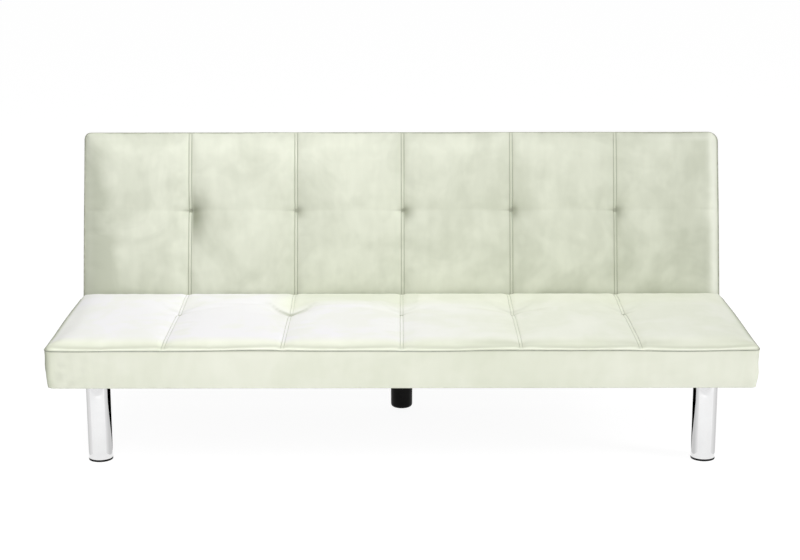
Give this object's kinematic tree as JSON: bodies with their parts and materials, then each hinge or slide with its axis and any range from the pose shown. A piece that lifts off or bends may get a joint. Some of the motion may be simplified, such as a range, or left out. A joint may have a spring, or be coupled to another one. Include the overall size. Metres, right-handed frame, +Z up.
{
  "type": "click clack sofa bed",
  "caption": "Tufted velvet sofa bed whose back tips forward and reclines in clicks to a flat bed, on chrome legs and a black centre support leg.",
  "frame": {"origin": "on the floor below the middle of the whole sofa, with the back upright", "axes": "+Z up, +X to the right seen from the front, the front faces -Y"},
  "size_m": [1.734, 0.7754, 0.7337],
  "materials": {
    "velvet": "pale green cream velvet",
    "foam": "upholstery foam",
    "black_cloth": "black non-woven lining",
    "webbing": "elastic webbing",
    "pine": "sawn pine",
    "spring_steel": "oiled spring wire",
    "chrome": "polished chrome plate",
    "black_plastic": "moulded, satin",
    "zinc_steel": "zinc plated",
    "black_steel": "black powder coat",
    "rubber": "moulded rubber"
  },
  "bodies": {
    "seat": {"seat_cover": "velvet", "seat_foam": "foam", "seat_dust_cover": "black_cloth", "seat_front_rail": "pine", "seat_rear_rail": "pine", "seat_left_rail": "pine", "seat_left_bearer": "pine", "seat_centre_rail": "pine", "seat_right_bearer": "pine", "seat_right_rail": "pine", "seat_spring_1": "spring_steel", "seat_spring_2": "spring_steel", "seat_spring_3": "spring_steel", "seat_spring_4": "spring_steel", "front_left_leg": "chrome", "front_right_leg": "chrome", "rear_left_leg": "chrome", "rear_right_leg": "chrome", "front_left_foot_cap": "black_plastic", "front_right_foot_cap": "black_plastic", "rear_left_foot_cap": "black_plastic", "rear_right_foot_cap": "black_plastic", "centre_leg": "black_plastic", "left_rail_plug": "black_plastic", "right_rail_plug": "black_plastic", "front_left_leg_plate": "zinc_steel", "front_right_leg_plate": "zinc_steel", "rear_left_leg_plate": "zinc_steel", "rear_right_leg_plate": "zinc_steel", "centre_leg_plate": "zinc_steel", "left_seat_bracket": "zinc_steel", "right_seat_bracket": "zinc_steel", "left_pivot_bolt": "zinc_steel", "right_pivot_bolt": "zinc_steel", "left_pivot_nut": "zinc_steel", "right_pivot_nut": "zinc_steel", "left_base_rail": "black_steel", "right_base_rail": "black_steel", "rear_cross_bar": "black_steel", "left_bumper": "rubber", "centre_bumper": "rubber", "right_bumper": "rubber"},
    "backrest": {"back_cover": "velvet", "back_foam": "foam", "back_cloth": "black_cloth", "back_strap_lower": "webbing", "back_strap_upper": "webbing", "back_top_rail": "pine", "back_bottom_rail": "pine", "back_centre_rail": "pine", "back_left_inner_rail": "pine", "back_right_inner_rail": "pine", "back_left_rail": "pine", "back_right_rail": "pine", "left_back_bracket": "zinc_steel", "right_back_bracket": "zinc_steel", "left_pawl_spring": "spring_steel", "right_pawl_spring": "spring_steel"},
    "left_pawl": {"left_pawl": "zinc_steel"},
    "right_pawl": {"right_pawl": "zinc_steel"}
  },
  "joints": [
    {"name": "backrest_recline", "type": "hinge", "parent": "seat", "child": "backrest", "pos_m": [0, 0.20435, 0.268], "axis": [-1, 0, 0], "range_deg": [-10, 74]},
    {"name": "left_pawl_drop", "type": "hinge", "parent": "backrest", "child": "left_pawl", "pos_m": [-0.7773, 0.2173, 0.31318], "axis": [-1, 0, 0], "range_deg": [0, 11], "deforming": ["left_pawl_spring"]},
    {"name": "right_pawl_drop", "type": "hinge", "parent": "backrest", "child": "right_pawl", "pos_m": [0.7773, 0.2173, 0.31318], "axis": [-1, 0, 0], "range_deg": [0, 11], "deforming": ["right_pawl_spring"]}
  ],
  "couplings": [
    {"joint": "right_pawl_drop", "follows": "left_pawl_drop", "ratio": 1}
  ]
}
